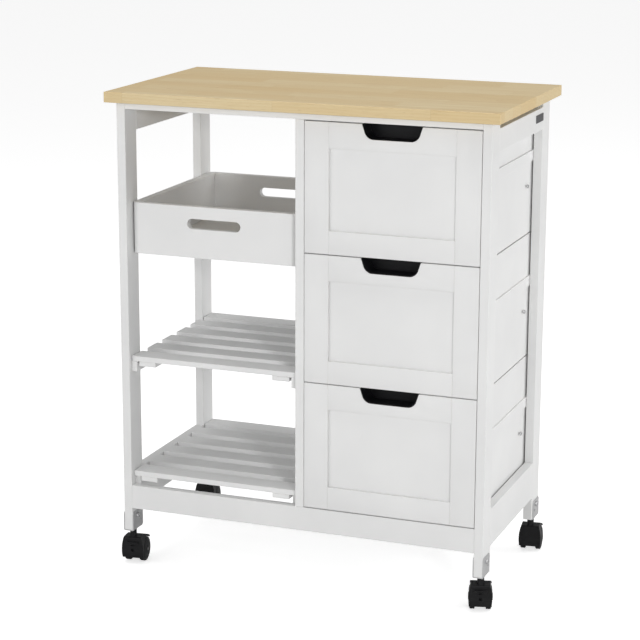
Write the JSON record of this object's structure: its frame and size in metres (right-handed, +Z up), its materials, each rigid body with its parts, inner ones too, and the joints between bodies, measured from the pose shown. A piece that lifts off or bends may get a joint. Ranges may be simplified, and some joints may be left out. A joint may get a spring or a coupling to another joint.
{
  "type": "kitchen island cart",
  "caption": "Rolling kitchen cart with a solid wood top, drawers beside an open bay with a pull-out tray and slatted shelves, on braked twin-wheel casters.",
  "frame": {"origin": "on the floor, in the middle of the box round the whole cart, trailing casters included (4.5 mm behind the middle of the wooden frame)", "axes": "+X to the right seen from the front, +Y to the rear, +Z up"},
  "size_m": [0.67, 0.379, 0.82],
  "materials": {
    "top_wood": "oiled solid rubberwood, satin",
    "white_paint": "satin white painted wood",
    "drawer_floor_board": "thin white faced board",
    "pocket_plastic": "black moulded plastic",
    "caster_plastic": "black moulded plastic, half gloss",
    "steel": "zinc plated steel",
    "label_plate": "dark grey coated plate"
  },
  "bodies": {
    "frame": {"bracket_bolts": "steel", "caster_brackets": "steel", "caster_stems": "steel", "divider_rails": "white_paint", "divider_stiles": "white_paint", "drawer_runner_strips": "white_paint", "front_bottom_rail": "white_paint", "front_top_rail": "white_paint", "leg_front_left": "white_paint", "leg_front_right": "white_paint", "leg_rear_left": "white_paint", "leg_rear_right": "white_paint", "rear_bottom_rail": "white_paint", "rear_top_rail": "white_paint", "side_bottom_rails": "white_paint", "side_plate": "label_plate", "side_top_rails": "white_paint", "top_board": "top_wood", "top_board_screws": "steel", "tray_and_shelf_strips": "white_paint"},
    "caster_front_left_swivel": {"caster_front_left_axle": "steel", "caster_front_left_housing": "caster_plastic"},
    "caster_front_left_brake_lever": {"caster_front_left_brake": "caster_plastic"},
    "caster_front_left_wheel_pair": {"caster_front_left_wheels": "caster_plastic"},
    "caster_front_right_swivel": {"caster_front_right_axle": "steel", "caster_front_right_housing": "caster_plastic"},
    "caster_front_right_brake_lever": {"caster_front_right_brake": "caster_plastic"},
    "caster_front_right_wheel_pair": {"caster_front_right_wheels": "caster_plastic"},
    "caster_rear_left_swivel": {"caster_rear_left_axle": "steel", "caster_rear_left_housing": "caster_plastic"},
    "caster_rear_left_wheel_pair": {"caster_rear_left_wheels": "caster_plastic"},
    "caster_rear_right_swivel": {"caster_rear_right_axle": "steel", "caster_rear_right_housing": "caster_plastic"},
    "caster_rear_right_wheel_pair": {"caster_rear_right_wheels": "caster_plastic"},
    "drawer_lower": {"drawer_lower_back": "white_paint", "drawer_lower_floor": "drawer_floor_board", "drawer_lower_front": "white_paint", "drawer_lower_grip_pocket": "pocket_plastic", "drawer_lower_sides": "white_paint", "drawer_lower_stop_screws": "steel"},
    "drawer_middle": {"drawer_middle_back": "white_paint", "drawer_middle_floor": "drawer_floor_board", "drawer_middle_front": "white_paint", "drawer_middle_grip_pocket": "pocket_plastic", "drawer_middle_sides": "white_paint", "drawer_middle_stop_screws": "steel"},
    "drawer_upper": {"drawer_upper_back": "white_paint", "drawer_upper_floor": "drawer_floor_board", "drawer_upper_front": "white_paint", "drawer_upper_grip_pocket": "pocket_plastic", "drawer_upper_sides": "white_paint", "drawer_upper_stop_screws": "steel"},
    "shelf_lower": {"shelf_lower_battens": "white_paint", "shelf_lower_slats": "white_paint"},
    "shelf_upper": {"shelf_upper_battens": "white_paint", "shelf_upper_slats": "white_paint"},
    "tray": {"tray_back": "white_paint", "tray_floor": "white_paint", "tray_front": "white_paint", "tray_sides": "white_paint"}
  },
  "joints": [
    {"name": "drawer_upper_slide", "type": "slide", "parent": "frame", "child": "drawer_upper", "axis": [0, -1, 0], "range_m": [0, 0.217]},
    {"name": "drawer_middle_slide", "type": "slide", "parent": "frame", "child": "drawer_middle", "axis": [0, -1, 0], "range_m": [0, 0.217]},
    {"name": "drawer_lower_slide", "type": "slide", "parent": "frame", "child": "drawer_lower", "axis": [0, -1, 0], "range_m": [0, 0.217]},
    {"name": "tray_slide", "type": "slide", "parent": "frame", "child": "tray", "axis": [0, -1, 0], "range_m": [0, 0.29]},
    {"name": "shelf_upper_lift", "type": "slide", "parent": "frame", "child": "shelf_upper", "axis": [0, 0, 1], "range_m": [0, 0.1]},
    {"name": "shelf_lower_lift", "type": "slide", "parent": "frame", "child": "shelf_lower", "axis": [0, 0, 1], "range_m": [0, 0.1]},
    {"name": "caster_front_left_turn", "type": "hinge", "parent": "frame", "child": "caster_front_left_swivel", "pos_m": [-0.3115, -0.15746, 0.055], "axis": [0, 0, 1], "continuous": true},
    {"name": "caster_front_left_roll", "type": "hinge", "parent": "caster_front_left_swivel", "child": "caster_front_left_wheel_pair", "pos_m": [-0.31369, -0.1396, 0.021], "axis": [0.9925, 0.1219, 0], "continuous": true},
    {"name": "caster_front_left_brake_press", "type": "hinge", "parent": "caster_front_left_swivel", "child": "caster_front_left_brake_lever", "pos_m": [-0.31369, -0.1396, 0.021], "axis": [0.9925, 0.1219, 0], "range_deg": [0, 6]},
    {"name": "caster_front_right_turn", "type": "hinge", "parent": "frame", "child": "caster_front_right_swivel", "pos_m": [0.3115, -0.15746, 0.055], "axis": [0, 0, 1], "continuous": true},
    {"name": "caster_front_right_roll", "type": "hinge", "parent": "caster_front_right_swivel", "child": "caster_front_right_wheel_pair", "pos_m": [0.30654, -0.14016, 0.021], "axis": [0.9613, 0.2756, 0], "continuous": true},
    {"name": "caster_front_right_brake_press", "type": "hinge", "parent": "caster_front_right_swivel", "child": "caster_front_right_brake_lever", "pos_m": [0.30654, -0.14016, 0.021], "axis": [0.9613, 0.2756, 0], "range_deg": [0, 6]},
    {"name": "caster_rear_left_turn", "type": "hinge", "parent": "frame", "child": "caster_rear_left_swivel", "pos_m": [-0.3115, 0.14854, 0.055], "axis": [0, 0, 1], "continuous": true},
    {"name": "caster_rear_left_roll", "type": "hinge", "parent": "caster_rear_left_swivel", "child": "caster_rear_left_wheel_pair", "pos_m": [-0.31369, 0.1664, 0.021], "axis": [0.9925, 0.1219, 0], "continuous": true},
    {"name": "caster_rear_right_turn", "type": "hinge", "parent": "frame", "child": "caster_rear_right_swivel", "pos_m": [0.3115, 0.14854, 0.055], "axis": [0, 0, 1], "continuous": true},
    {"name": "caster_rear_right_roll", "type": "hinge", "parent": "caster_rear_right_swivel", "child": "caster_rear_right_wheel_pair", "pos_m": [0.30899, 0.16636, 0.021], "axis": [0.9903, 0.1392, 0], "continuous": true}
  ]
}
